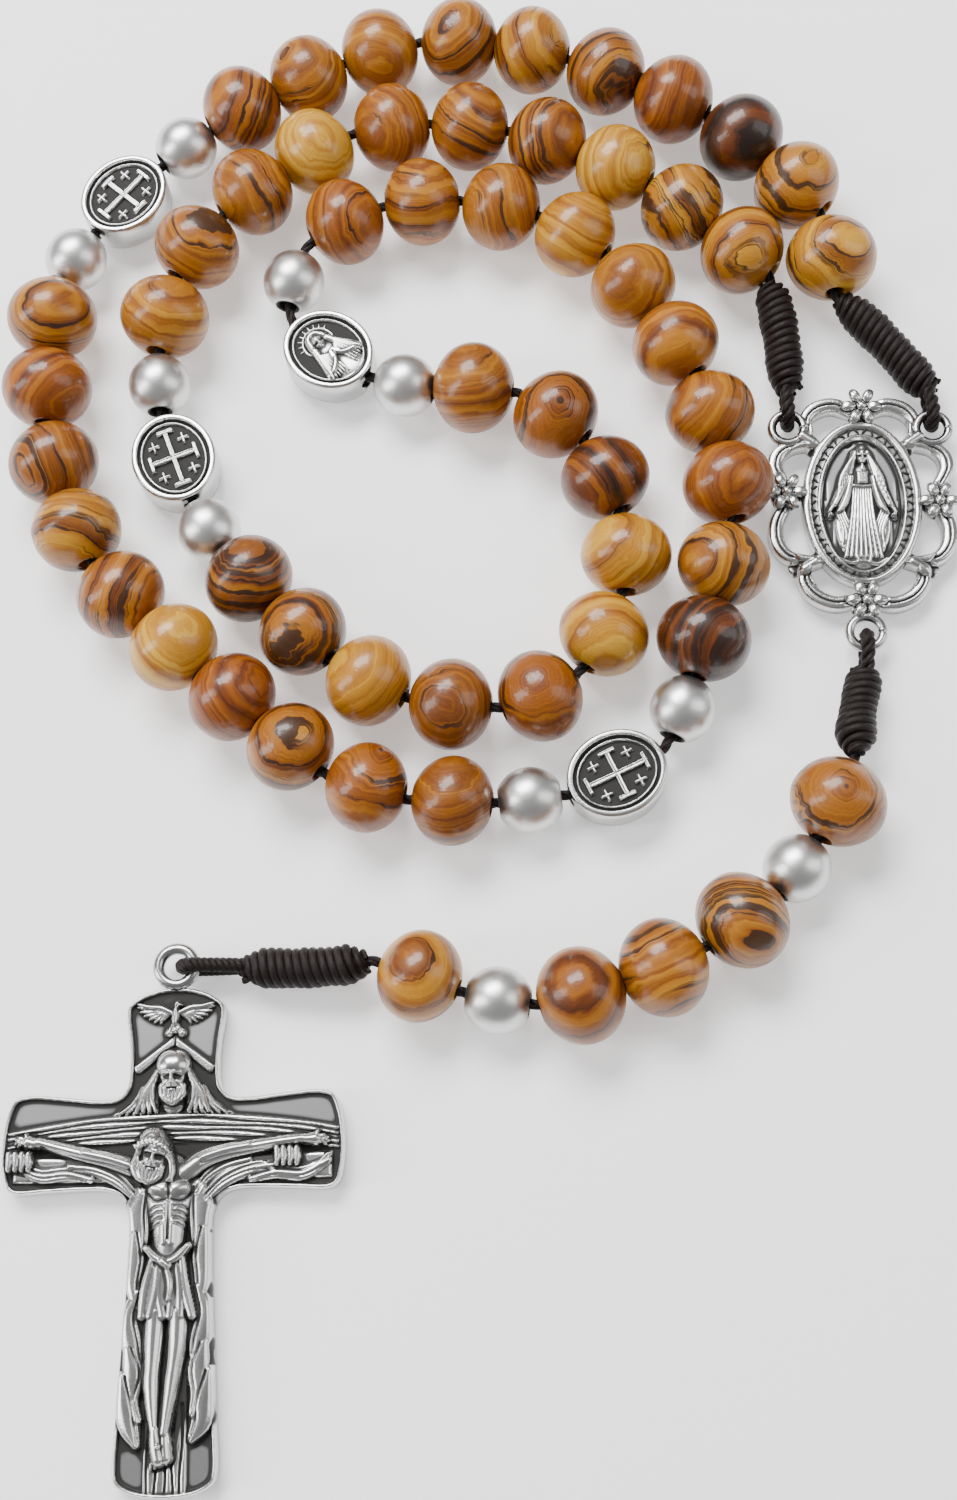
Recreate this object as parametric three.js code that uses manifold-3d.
// A five-decade rosary laid out flat: olive wood beads on a waxed cord, oval medals between silver
// balls, a centre medal, a short pendant strand and a crucifix. Millimetres, +Z up, surface at Z = 0.
import * as THREE from 'three';
import { mergeVertices } from 'three/addons/utils/BufferGeometryUtils.js';
import Module from 'manifold-3d';

const wasm = await Module();
wasm.setup();

// Beads and medals on the strands
const woodDiameter = 8.0;
const woodLength = 6.9;
const ballDiameter = 5.8;
const ballLength = 5.5;
const ovalLength = 9.0;
const ovalWidth = 7.8;
const ovalThickness = 3.4;
const ovalRecess = 0.4;
const ovalRim = 0.8;

// Cord, bores and knots
const cordDiameter = 1.0;
const boreClearance = 0.85;
const boreWall = 0.35;
const beadGap = 0.25;
const woodLift = 0.05;
const ballLift = 0.2;
const ovalLift = 0.8;
const ballDrop = 0.95; // most that a ball hangs below the wooden beads' bores
const ovalDrop = 1.55;
const strandEndDrop = 0.45;
const tieRoom = 1.6;
const knotDiameter = 3.5;
const knotBoreClearance = 0.6;
const knotTaper = 0.7;
const knotFloor = 2.2;
const knotSetback = 0.8;
const fitGap = 0.3;
const sideClearance = 0.15;

// Rings that the cord is tied through
const ringHole = 2.1;
const ringWall = 0.85;
const crossRingHole = 2.1;
const crossRingWall = 1.05;
const ringThickness = 1.0;

// Centre medal
const medalHalfWidth = 5.5;
const medalHalfHeight = 8.1;
const medalFieldInset = 1.5;
const medalBack = 0.5;
const medalThickness = 1.7;
const frameGap = 0.9;
const frameWidth = 1.0;
const frameThickness = 1.2;
const flowerRadius = 1.55;
const flowerPetals = 6;
const upperRingX = 6.6;
const upperRingY = 7.4;
const medalTurn = THREE.MathUtils.degToRad(-1.5);

// Crucifix
const crossThickness = 2.0;
const crossReliefHeight = 1.1;
const crossTurn = THREE.MathUtils.degToRad(1.0);

// Worked-out sizes
const cordRadius = cordDiameter / 2;
const boreRadius = cordRadius + boreClearance;
const knotRadius = knotDiameter / 2;
const ringUnder = cordDiameter + fitGap;
const ringMiddle = ringUnder + ringThickness / 2;
const woodRest = woodDiameter / 2 + woodLift;
const ballRest = Math.max(ballDiameter / 2 + ballLift, woodRest - ballDrop);
const ovalRest = Math.max(ovalThickness / 2 + ovalLift, woodRest - ovalDrop);
const strandEndHeight = woodRest - strandEndDrop;

// Middle of the laid-out rosary in the layout's own plane: the part's origin
const layMiddle = new THREE.Vector2(-0.36, 7.45);

// Route of the loop cord between its two upper knots, seen from above
const loopRoute = [
  [33.2, 44.2], [33, 50.5], [28.5, 58], [17, 66.5], [-2.5, 73], [-20, 67.5], [-33, 58.5], [-40, 47.5],
  [-40.5, 36.5], [-39, 26], [-32.5, 15], [-22.5, 6], [-11.5, -3], [3.5, -4.5], [15.5, -0.5], [20, 10.5],
  [23, 23.5], [18.5, 39], [8.5, 51.5], [-5.5, 55], [-16.5, 50.5], [-17.5, 42.5], [-9, 36.5], [6.5, 33],
  [13.5, 18], [6.5, 5], [-8, 5.5], [-17.5, 13], [-25, 22], [-30, 35], [-27.5, 50], [-12.5, 62.5],
  [6.5, 61.5], [17.5, 55], [23.5, 50], [27.2, 46.2],
];

// Route of the pendant cord between its two knots, from the lower ring of the centre medal
const pendantRoute = [
  [-2, -12.6], [-3.8, -17], [-8, -22.8], [-12.3, -26.8], [-19, -30.8],
  [-26.5, -33.3], [-33, -33.2], [-39, -31.4], [-43.2, -29.8],
];

// Each decade has ten beads. Those named here are joined to the next one, where the cord runs straightest
const beadsInDecade = 10;
const joinedInDecade = [[2, 4, 6, 9], [1, 3, 5, 7, 9], [1, 3, 5], [9], [3, 7, 9]];
const bendRoom = 1.6;

const oliveWood = { color: 0xb9773a, roughness: 0.35, metalness: 0 };
const antiqueSilver = { color: 0xb4b4b2, roughness: 0.32, metalness: 1 };
const waxedCord = { color: 0x241a17, roughness: 0.6, metalness: 0 };

function solid(geometry) {
  const bare = geometry.index ? geometry.toNonIndexed() : geometry.clone();
  bare.deleteAttribute('normal');
  bare.deleteAttribute('uv');
  const merged = mergeVertices(bare, 1e-4);
  return new wasm.Manifold(new wasm.Mesh({
    numProp: 3,
    vertProperties: new Float32Array(merged.attributes.position.array),
    triVerts: new Uint32Array(merged.index.array),
  }));
}

function fromSolid(body) {
  const mesh = body.getMesh();
  const geometry = new THREE.BufferGeometry();
  geometry.setAttribute('position', new THREE.BufferAttribute(new Float32Array(mesh.vertProperties), 3));
  geometry.setIndex(new THREE.BufferAttribute(new Uint32Array(mesh.triVerts), 1));
  const flat = geometry.toNonIndexed();
  flat.computeVertexNormals();
  return flat;
}

function join(geometries) {
  return geometries.map(solid).reduce((whole, piece) => whole.add(piece));
}

function piece(name, geometry, finish) {
  const mesh = new THREE.Mesh(geometry, new THREE.MeshStandardMaterial(finish));
  mesh.name = name;
  return mesh;
}

function slab(shape, bottom, height, curveSegments = 4) {
  const geometry = new THREE.ExtrudeGeometry(shape, { depth: height, bevelEnabled: false, curveSegments });
  return geometry.translate(0, 0, bottom);
}

function ovalShape(halfWidth, halfHeight, sides) {
  const points = [];
  for (let i = 0; i < sides; i += 1) {
    const angle = (i / sides) * Math.PI * 2;
    points.push(new THREE.Vector2(halfWidth * Math.cos(angle), halfHeight * Math.sin(angle)));
  }
  return new THREE.Shape(points);
}

function ringShape(outerRadius, holeRadius, sides = 16) {
  const shape = ovalShape(outerRadius, outerRadius, sides);
  shape.holes.push(ovalShape(holeRadius, holeRadius, sides));
  return shape;
}

function bandShape(centreLine, width, samples = 5) {
  const curve = new THREE.SplineCurve(centreLine.map(([x, y]) => new THREE.Vector2(x, y)));
  const left = [];
  const right = [];
  for (let i = 0; i <= samples; i += 1) {
    const at = curve.getPoint(i / samples);
    const along = curve.getTangent(i / samples);
    const across = new THREE.Vector2(-along.y, along.x).multiplyScalar(width / 2);
    left.push(at.clone().add(across));
    right.unshift(at.clone().sub(across));
  }
  return new THREE.Shape([...left, ...right]);
}

// Closed outline through the given corners, each rounded by its own radius or by what its sides leave
function roundedShape(corners) {
  const shape = new THREE.Shape();
  const at = corners.map(([x, y]) => new THREE.Vector2(x, y));
  const towards = (from, to, radius) => {
    const side = to.clone().sub(from);
    return side.setLength(Math.min(radius, side.length() * 0.45)).add(from);
  };
  corners.forEach(([x, y, radius], i) => {
    const start = towards(at[i], at.at(i - 1), radius);
    const end = towards(at[i], at[(i + 1) % at.length], radius);
    if (i === 0) shape.moveTo(start.x, start.y);
    else shape.lineTo(start.x, start.y);
    shape.quadraticCurveTo(x, y, end.x, end.y);
  });
  shape.closePath();
  return shape;
}

function tube(curve, steps, sides = 8) {
  const section = ovalShape(cordRadius, cordRadius, sides);
  return new THREE.ExtrudeGeometry(section, { steps, extrudePath: curve, bevelEnabled: false });
}

// Outline of one bead from end to end: an ellipse cut flat where its radius falls to the bore and its wall
function beadOutline(diameter, length, middle, arcs = 4) {
  const endRadius = boreRadius + boreWall;
  const endAngle = Math.acos(endRadius / (diameter / 2));
  const halfAxis = length / 2 / Math.sin(endAngle);
  const points = [];
  for (let i = 0; i <= arcs; i += 1) {
    const angle = endAngle * (2 * i / arcs - 1);
    const radius = diameter / 2 * Math.cos(angle);
    points.push(new THREE.Vector2(radius, middle + halfAxis * Math.sin(angle)));
  }
  return points;
}

// One bead, or several on one straight bore joined end to end at the given spacing
function beadGeometry(diameter, length, count = 1, spacing = 0) {
  const outline = [];
  for (let i = 0; i < count; i += 1) {
    outline.push(...beadOutline(diameter, length, spacing * (i - (count - 1) / 2)));
  }
  const bottom = outline[0].y;
  const top = outline[outline.length - 1].y;
  const profile = [new THREE.Vector2(boreRadius, bottom), ...outline, new THREE.Vector2(boreRadius, top)];
  profile.push(profile[0].clone());
  return new THREE.LatheGeometry(profile, 10);
}

// Cross with a short bar across the end of each arm
function crossPotent(size, bar, bottom, height) {
  const arm = new THREE.BoxGeometry(size * 2, bar, height);
  const end = new THREE.BoxGeometry(bar, size * 0.9, height);
  const parts = [];
  for (let quarter = 0; quarter < 4; quarter += 1) {
    if (quarter < 2) parts.push(arm.clone().rotateZ(quarter * Math.PI / 2));
    parts.push(end.clone().translate(size, 0, 0).rotateZ(quarter * Math.PI / 2));
  }
  return parts.map((part) => part.translate(0, 0, bottom + height / 2));
}

// Oval medal with its long axis along Y, a recessed field on both faces and a bore from end to end
function ovalMedalGeometry() {
  const sides = 18;
  const recess = ovalShape(ovalWidth / 2 - ovalRim, ovalLength / 2 - ovalRim, sides);
  const field = ovalThickness / 2 - ovalRecess;
  let body = solid(slab(ovalShape(ovalWidth / 2, ovalLength / 2, sides), -ovalThickness / 2, ovalThickness));
  body = body.subtract(solid(slab(recess, field, ovalThickness)));
  body = body.subtract(solid(slab(recess, -field - ovalThickness, ovalThickness)));
  const crossSize = ovalWidth / 2 - ovalRim - 0.7;
  for (const bottom of [field - 0.1, -field - ovalRecess + 0.1]) {
    for (const part of crossPotent(crossSize, 0.55, bottom, ovalRecess)) body = body.add(solid(part));
  }
  const bore = new THREE.CylinderGeometry(boreRadius, boreRadius, ovalLength * 2, 10);
  return fromSolid(body.subtract(solid(bore)));
}

const markCount = 600;
const straightMark = 0.02;

// A cord seen from above as a smooth line through its points, at the height of the pieces threaded on it
class LaidCord extends THREE.Curve {
  constructor(plan) {
    super();
    this.plan = new THREE.CatmullRomCurve3(plan.map(([x, y]) => new THREE.Vector3(x, y, 0)));
    this.levels = [];
    this.marks = [0];
    const share = (i) => THREE.MathUtils.clamp(i / markCount, 0, 1);
    const markLength = this.plan.getLength() / markCount;
    for (let i = 1; i <= markCount; i += 1) {
      const bend = this.plan.getTangentAt(share(i)).angleTo(this.plan.getTangentAt(share(i - 1)));
      this.marks.push(this.marks[i - 1] + Math.sqrt(bend / markLength + straightMark));
    }
  }

  // Even steps along the cord fall closer together where it bends
  getUtoTmapping(step) {
    const wanted = step * this.marks[markCount];
    const after = Math.max(1, this.marks.findIndex((mark) => mark >= wanted - 1e-9));
    const from = this.marks[after - 1];
    return (after - 1 + (wanted - from) / (this.marks[after] - from)) / markCount;
  }

  heightAt(station) {
    const after = Math.max(1, this.levels.findIndex((level) => level.station >= station));
    const from = this.levels[after - 1];
    const to = this.levels[after];
    const share = THREE.MathUtils.smoothstep(station, from.station, to.station);
    return THREE.MathUtils.lerp(from.height, to.height, share);
  }

  getPoint(share, target = new THREE.Vector3()) {
    this.plan.getPointAt(share, target);
    return target.setZ(this.heightAt(share * this.plan.getLength()));
  }
}

// Stations of the pieces between two ends of a plan: each keeps its gap, bends take room, slack is shared out
function stationsAlong(plan, lengths, start, end) {
  const total = plan.getLength();
  const count = lengths.length;
  let stations = lengths.map((_, i) => start + (end - start) * (i + 0.5) / count);
  let slack = 0;
  for (let round = 0; round < 6; round += 1) {
    const along = stations.map((station) => plan.getTangentAt(station / total));
    let at = start + beadGap + lengths[0] / 2;
    const packed = [at];
    for (let i = 1; i < count; i += 1) {
      const bend = along[i].angleTo(along[i - 1]);
      at += (lengths[i] + lengths[i - 1]) / 2 + beadGap + bendRoom * bend;
      packed.push(at);
    }
    slack = (end - at - lengths[count - 1] / 2 - beadGap) / (count + 1);
    const share = slack;
    stations = packed.map((station, i) => THREE.MathUtils.clamp(station + share * (i + 1), 0, total));
  }
  return { stations, slack };
}

// Where a straight piece sits on a bowed cord: along the chord, halfway between the cord's two sides
function seatOn(plan, from, to) {
  const at = (station) => plan.getPointAt(THREE.MathUtils.clamp(station / plan.getLength(), 0, 1));
  const start = at(from);
  const direction = at(to).sub(start).normalize();
  const across = new THREE.Vector3(-direction.y, direction.x, 0);
  const samples = 12;
  const offsets = [];
  for (let i = 0; i <= samples; i += 1) {
    offsets.push(at(THREE.MathUtils.lerp(from, to, i / samples)).sub(start).dot(across));
  }
  const shift = (Math.max(...offsets) + Math.min(...offsets)) / 2;
  const centre = at(to).add(start).multiplyScalar(0.5).addScaledVector(across, shift);
  return { centre, direction };
}

function strandPieces() {
  const wood = { kind: 'wood', length: woodLength, radius: woodDiameter / 2, rest: woodRest };
  const ball = { kind: 'ball', length: ballLength, radius: ballDiameter / 2, rest: ballRest };
  const oval = { kind: 'oval', length: ovalLength, radius: ovalWidth / 2, rest: ovalRest };
  const loop = [];
  let balls = 0;
  joinedInDecade.forEach((joined, decade) => {
    for (let bead = 1; bead <= beadsInDecade; bead += 1) {
      const number = String(bead).padStart(2, '0');
      loop.push({ ...wood, name: `decade_${decade + 1}_bead_${number}`, joined: joined.includes(bead) });
    }
    if (decade < joinedInDecade.length - 1) {
      loop.push({ ...ball, name: `loop_ball_${balls + 1}` });
      loop.push({ ...oval, name: `oval_medal_${decade + 1}` });
      loop.push({ ...ball, name: `loop_ball_${balls + 2}` });
      balls += 2;
    }
  });
  const pendant = [
    { ...wood, name: 'pendant_bead_1' }, { ...ball, name: 'pendant_ball_1' },
    { ...wood, name: 'pendant_bead_2' }, { ...wood, name: 'pendant_bead_3', joined: true },
    { ...wood, name: 'pendant_bead_4' }, { ...ball, name: 'pendant_ball_2' },
    { ...wood, name: 'pendant_bead_5' },
  ];
  return { loop, pendant };
}

// How much a route has to grow for its pieces to fit along it and past each other: 1 when they fit as laid
function spreadFor(route, pieces) {
  const { plan } = new LaidCord(route);
  const total = plan.getLength();
  const { stations, slack } = stationsAlong(plan, pieces.map((item) => item.length), 0, total);
  let spread = 1 - Math.min(slack, 0) * (pieces.length + 1) / total;
  const places = stations.map((station) => plan.getPointAt(station / total));
  for (let i = 0; i < pieces.length; i += 1) {
    for (let j = i + 2; j < pieces.length; j += 1) {
      const needed = pieces[i].radius + pieces[j].radius + sideClearance;
      spread = Math.max(spread, needed / places[i].distanceTo(places[j]));
    }
  }
  return spread;
}

const grown = (route, spread) => route.map(([x, y]) => new THREE.Vector3(x * spread, y * spread, 0));

// One strand: the cord between two knots with its pieces threaded on it
function strand(firstKnot, route, lastKnot, pieces) {
  const cord = new LaidCord([...firstKnot.lead, ...route, ...lastKnot.lead.toReversed()]
    .map((point) => [point.x, point.y]));
  const { plan } = cord;
  const total = plan.getLength();
  const start = firstKnot.inside;
  const end = total - lastKnot.inside;
  const { stations } = stationsAlong(plan, pieces.map((item) => item.length), start, end);
  cord.levels = [
    { station: 0, height: firstKnot.lead[0].z }, { station: start, height: strandEndHeight },
    ...pieces.map((item, i) => ({ station: stations[i], height: item.rest })),
    { station: end, height: strandEndHeight }, { station: total + 1, height: lastKnot.lead[0].z },
  ];
  const meshes = [];
  for (let i = 0; i < pieces.length; i += 1) {
    const item = pieces[i];
    const last = item.joined ? i + 1 : i;
    const from = stations[i] - item.length / 2;
    const to = stations[last] + pieces[last].length / 2;
    const { centre, direction } = seatOn(plan, from, to);
    let geometry;
    let { name } = item;
    if (item.kind === 'oval') geometry = ovalMedalGeometry();
    else if (item.kind === 'ball') geometry = beadGeometry(ballDiameter, ballLength);
    else if (!item.joined) geometry = beadGeometry(woodDiameter, woodLength);
    else {
      geometry = beadGeometry(woodDiameter, woodLength, 2, stations[last] - stations[i]);
      name = `${item.name}_and_${pieces[last].name.split('_').pop()}`;
    }
    const mesh = piece(name, geometry, item.kind === 'wood' ? oliveWood : antiqueSilver);
    mesh.position.copy(centre).setZ(item.rest);
    mesh.rotation.z = Math.atan2(-direction.x, direction.y);
    meshes.push(mesh);
    i = last;
  }
  return { cord, meshes };
}

// A wound knot with the loop of cord that ties it to a ring. The strand's own cord ends inside its bore
function knot(name, hole, outwards, strandEnd, reach) {
  const ringEnd = hole.clone().addScaledVector(outwards, reach);
  const axis = strandEnd.clone().sub(ringEnd);
  const length = axis.length() - knotSetback;
  axis.normalize();
  const bore = cordRadius + knotBoreClearance;
  const profile = [
    [0, 0], [knotRadius * 0.75, 0], [knotRadius, knotTaper], [knotRadius, length - knotTaper],
    [knotRadius * 0.8, length], [bore, length], [bore, knotFloor], [0, knotFloor],
  ].map(([x, y]) => new THREE.Vector2(x, y));
  const sleeve = new THREE.LatheGeometry(profile, 12);
  const turn = new THREE.Quaternion().setFromUnitVectors(new THREE.Vector3(0, 1, 0), axis);
  sleeve.applyQuaternion(turn).translate(ringEnd.x, ringEnd.y, ringEnd.z);
  const rise = ringMiddle - cordRadius;
  const inside = ringEnd.clone().addScaledVector(axis, knotFloor * 0.4);
  const beside = ringHole / 2 + ringWall / 2;
  const steps = [[inside, 0.7], [hole.clone().addScaledVector(outwards, beside), 1], [hole, 0.72]];
  const over = steps.map(([at, share]) => at.clone().add(new THREE.Vector3(0, 0, rise * share)));
  const under = steps.map(([at, share]) => at.clone().sub(new THREE.Vector3(0, 0, rise * share)));
  const tip = hole.clone().addScaledVector(outwards, -0.12);
  const path = new THREE.CatmullRomCurve3([...over, tip, ...under.reverse()]);
  const loop = tube(path, 14);
  const mesh = piece(name, fromSolid(join([sleeve, loop])), waxedCord);
  const lead = [knotFloor + fitGap, length * 0.7]
    .map((depth) => ringEnd.clone().addScaledVector(axis, depth));
  return { mesh, lead, inside: lead[0].distanceTo(strandEnd) };
}

function flowerGeometry(x, y, bottom, height) {
  const petalPoints = 3;
  const points = [];
  for (let i = 0; i < flowerPetals * petalPoints; i += 1) {
    const angle = i / (flowerPetals * petalPoints) * Math.PI * 2;
    const radius = flowerRadius * (0.8 + 0.2 * Math.cos(flowerPetals * angle));
    points.push(new THREE.Vector2(x + radius * Math.sin(angle), y + radius * Math.cos(angle)));
  }
  const eye = new THREE.CylinderGeometry(0.25, 0.4, 0.3, 8).rotateX(Math.PI / 2);
  return [slab(new THREE.Shape(points), bottom, height), eye.translate(x, y, bottom + height + 0.1)];
}

// Standing veiled figure with open hands, and a disc behind the head
function standingFigure(bottom, height) {
  const robe = roundedShape([
    [-0.6, 4.0, 0.3], [0.6, 4.0, 0.3], [1.4, 2.2, 0.4], [3.0, -0.4, 0.4], [2.4, -1.2, 0.4],
    [1.7, -1.8, 0.5], [1.9, -5.6, 0.4], [-1.9, -5.6, 0.4], [-1.7, -1.8, 0.5], [-2.4, -1.2, 0.4],
    [-3.0, -0.4, 0.4], [-1.4, 2.2, 0.4],
  ]);
  const head = new THREE.SphereGeometry(0.8, 8, 6).scale(1, 1.25, 1).translate(0, 4.5, bottom + 0.3);
  const halo = slab(ovalShape(1.35, 1.35, 16), bottom, 0.35).translate(0, 4.6, 0);
  return [slab(robe, bottom, height, 2), halo, head];
}

// Centre medal about its own middle: oval body, scrolled frame, four flowers and three rings
function centreMedalGeometry() {
  const frameX = medalHalfWidth + frameGap + frameWidth / 2;
  const frameY = medalHalfHeight + frameGap + frameWidth / 2;
  const top = medalBack + medalThickness;
  const field = ovalShape(medalHalfWidth - medalFieldInset, medalHalfHeight - medalFieldInset, 24);
  let body = solid(slab(ovalShape(medalHalfWidth, medalHalfHeight, 32), medalBack, medalThickness));
  body = body.subtract(solid(slab(field, top - 0.5, 2)));
  const parts = standingFigure(top - 0.7, 0.8);
  const flowers = [[0, frameY], [0, -frameY], [frameX, 0], [-frameX, 0]];
  for (const [x, y] of flowers) parts.push(...flowerGeometry(x, y, medalBack, frameThickness + 0.3));
  for (const sideX of [-1, 1]) {
    for (const sideY of [-1, 1]) {
      const high = [[0.6, frameY], [0.34 * frameX, frameY + 0.35], [0.6 * frameX, frameY - 0.5],
        [0.76 * frameX, 0.7 * frameY]];
      const low = [[frameX, 0.6], [frameX + 0.35, 0.3 * frameY], [frameX - 0.2, 0.54 * frameY],
        [0.74 * frameX, 0.68 * frameY]];
      const stem = [[0.5 * medalHalfWidth, 0.6 * medalHalfHeight], [0.86 * frameX, 0.78 * frameY]];
      for (const line of [high, low, stem]) {
        const placed = line.map(([x, y]) => [x * sideX, y * sideY]);
        parts.push(slab(bandShape(placed, frameWidth), medalBack, frameThickness));
      }
    }
  }
  const ring = ringShape(ringHole / 2 + ringWall, ringHole / 2);
  for (const [x, y] of medalRings()) parts.push(slab(ring, ringUnder, ringThickness).translate(x, y, 0));
  for (const part of parts) body = body.add(solid(part));
  for (const [x, y] of medalRings()) {
    const hole = new THREE.CylinderGeometry(ringHole / 2, ringHole / 2, 8, 16).rotateX(Math.PI / 2);
    body = body.subtract(solid(hole.translate(x, y, ringMiddle)));
  }
  return fromSolid(body);
}

function medalRings() {
  const lowerRingY = medalHalfHeight + frameGap + frameWidth / 2 + flowerRadius + ringHole / 2 + ringWall / 2;
  return [[-upperRingX, upperRingY], [upperRingX, upperRingY], [0, -lowerRingY]];
}

// Crucifix with the middle of its ring's hole at the origin and its foot towards -Y
function crucifixGeometry() {
  const ringOut = crossRingHole / 2 + crossRingWall;
  const right = [
    [2.6, -1.9, 1.2], [4.2, -3.0, 0.9], [3.7, -9.8, 0.8], [4.6, -11.4, 1.0], [12.6, -10.7, 1.4],
    [14.3, -12.2, 1.0], [14.7, -15.0, 1.4], [14.0, -18.0, 1.2], [12.6, -19.2, 0.9], [5.2, -19.1, 1.2],
    [3.5, -20.6, 1.2], [3.5, -27.0, 2.5], [4.0, -37.0, 2.0], [4.3, -41.2, 0.8], [2.6, -43.0, 1.4],
  ];
  const left = right.map(([x, y, radius]) => [-x, y, radius]).reverse();
  const outline = roundedShape([...right, ...left]);
  const top = crossThickness - 0.3;
  const rise = crossReliefHeight;
  const parts = [
    slab(outline, 0, crossThickness, 2),
    slab(ringShape(ringOut, crossRingHole / 2), ringUnder, ringThickness),
    slab(roundedShape([[-14.2, -13.4, 0.5], [-14.2, -15.3, 0.5], [14.2, -15.3, 0.5], [14.2, -13.4, 0.5],
      [0, -12.6, 2]]), top, 0.5, 2),
    slab(roundedShape([[-3.8, -9.0, 0.4], [-0.2, -5.8, 0.5], [3.6, -9.0, 0.4], [4.0, -12.6, 0.6],
      [-4.0, -12.6, 0.6]]), top, 0.6, 2),
    slab(roundedShape([[-2.0, -19.0, 0.8], [2.0, -19.0, 0.8], [1.7, -24.0, 1], [2.1, -30.0, 0.6],
      [1.2, -38.0, 1], [0.6, -41.0, 0.4], [-1.2, -41.0, 0.4], [-1.7, -38.0, 1], [-2.3, -30.0, 0.6],
      [-1.8, -24.0, 1]]), top, rise, 2),
    slab(bandShape([[-12.6, -15.6], [-7, -16.6], [-1.5, -19.4]], 1.6, 4), top, rise - 0.2),
    slab(bandShape([[12.4, -15.8], [7, -16.4], [1.5, -19.4]], 1.6, 4), top, rise - 0.2),
    slab(bandShape([[-3.6, -3.6], [-0.2, -4.2], [3.6, -3.6]], 1.4, 4), top, 0.6),
    new THREE.SphereGeometry(1.9, 8, 6).scale(1, 1.25, 0.9).translate(-1.2, -16.6, crossThickness + 0.2),
    new THREE.SphereGeometry(1.6, 8, 6).scale(1, 1.25, 0.8).translate(0, -9.8, crossThickness),
  ];
  const hole = new THREE.CylinderGeometry(crossRingHole / 2, crossRingHole / 2, 8, 16).rotateX(Math.PI / 2);
  return fromSolid(join(parts).subtract(solid(hole.translate(0, 0, ringMiddle))));
}

const rosary = new THREE.Group();
const { loop, pendant } = strandPieces();
const spread = Math.max(spreadFor(loopRoute, loop), spreadFor(pendantRoute, pendant));
const loopPoints = grown(loopRoute, spread);
const strandEnd = (point) => point.clone().setZ(strandEndHeight);
const firstEnd = strandEnd(loopPoints[0]);
const lastEnd = strandEnd(loopPoints.at(-1));

// The centre medal lies between the ends of the loop, its upper rings a knot's length away from them
const medalDrop = new THREE.Vector3(4.7, -21.5, 0);
const medalCentre = firstEnd.clone().add(lastEnd).multiplyScalar(0.5).add(medalDrop).setZ(0);
const centreMedal = piece('centre_medal', centreMedalGeometry(), antiqueSilver);
centreMedal.position.copy(medalCentre);
centreMedal.rotation.z = medalTurn;
const [leftRing, rightRing, lowerRing] = medalRings().map(([x, y]) => new THREE.Vector3(x, y, ringMiddle)
  .applyAxisAngle(new THREE.Vector3(0, 0, 1), medalTurn).add(medalCentre));

const pendantPoints = grown(pendantRoute, spread)
  .map((point) => point.add(lowerRing).setZ(0));
const pendantStart = strandEnd(pendantPoints[0]);
const pendantEnd = strandEnd(pendantPoints.at(-1));
const crossDrop = new THREE.Vector3(-17.6, 0.1, 0);
const crossHole = pendantEnd.clone().add(crossDrop).setZ(ringMiddle);

const tieReach = ringHole / 2 + ringWall + tieRoom;
const crossTieReach = 5.6;
const upwards = new THREE.Vector3(0, 1, 0).applyAxisAngle(new THREE.Vector3(0, 0, 1), medalTurn);
const towardsPendant = pendantEnd.clone().sub(crossHole).setZ(0).normalize();
const rightKnot = knot('right_knot', rightRing, upwards, firstEnd, tieReach);
const leftKnot = knot('left_knot', leftRing, upwards, lastEnd, tieReach);
const lowerKnot = knot('lower_knot', lowerRing, upwards.clone().negate(), pendantStart, tieReach);
const crossKnot = knot('crucifix_knot', crossHole, towardsPendant, pendantEnd, crossTieReach);

const loopStrand = strand(rightKnot, loopPoints, leftKnot, loop);
const pendantStrand = strand(lowerKnot, pendantPoints, crossKnot, pendant);
const loopSteps = 84;
const pendantSteps = 24;

const crucifix = piece('crucifix', crucifixGeometry(), antiqueSilver);
crucifix.position.set(crossHole.x, crossHole.y, 0);
crucifix.rotation.z = crossTurn;

rosary.add(
  piece('loop_cord', tube(loopStrand.cord, loopSteps), waxedCord),
  piece('pendant_cord', tube(pendantStrand.cord, pendantSteps), waxedCord),
  rightKnot.mesh, leftKnot.mesh, lowerKnot.mesh, crossKnot.mesh,
  ...loopStrand.meshes, ...pendantStrand.meshes,
  centreMedal, crucifix,
);
rosary.position.set(-layMiddle.x, -layMiddle.y, 0);

export default rosary;
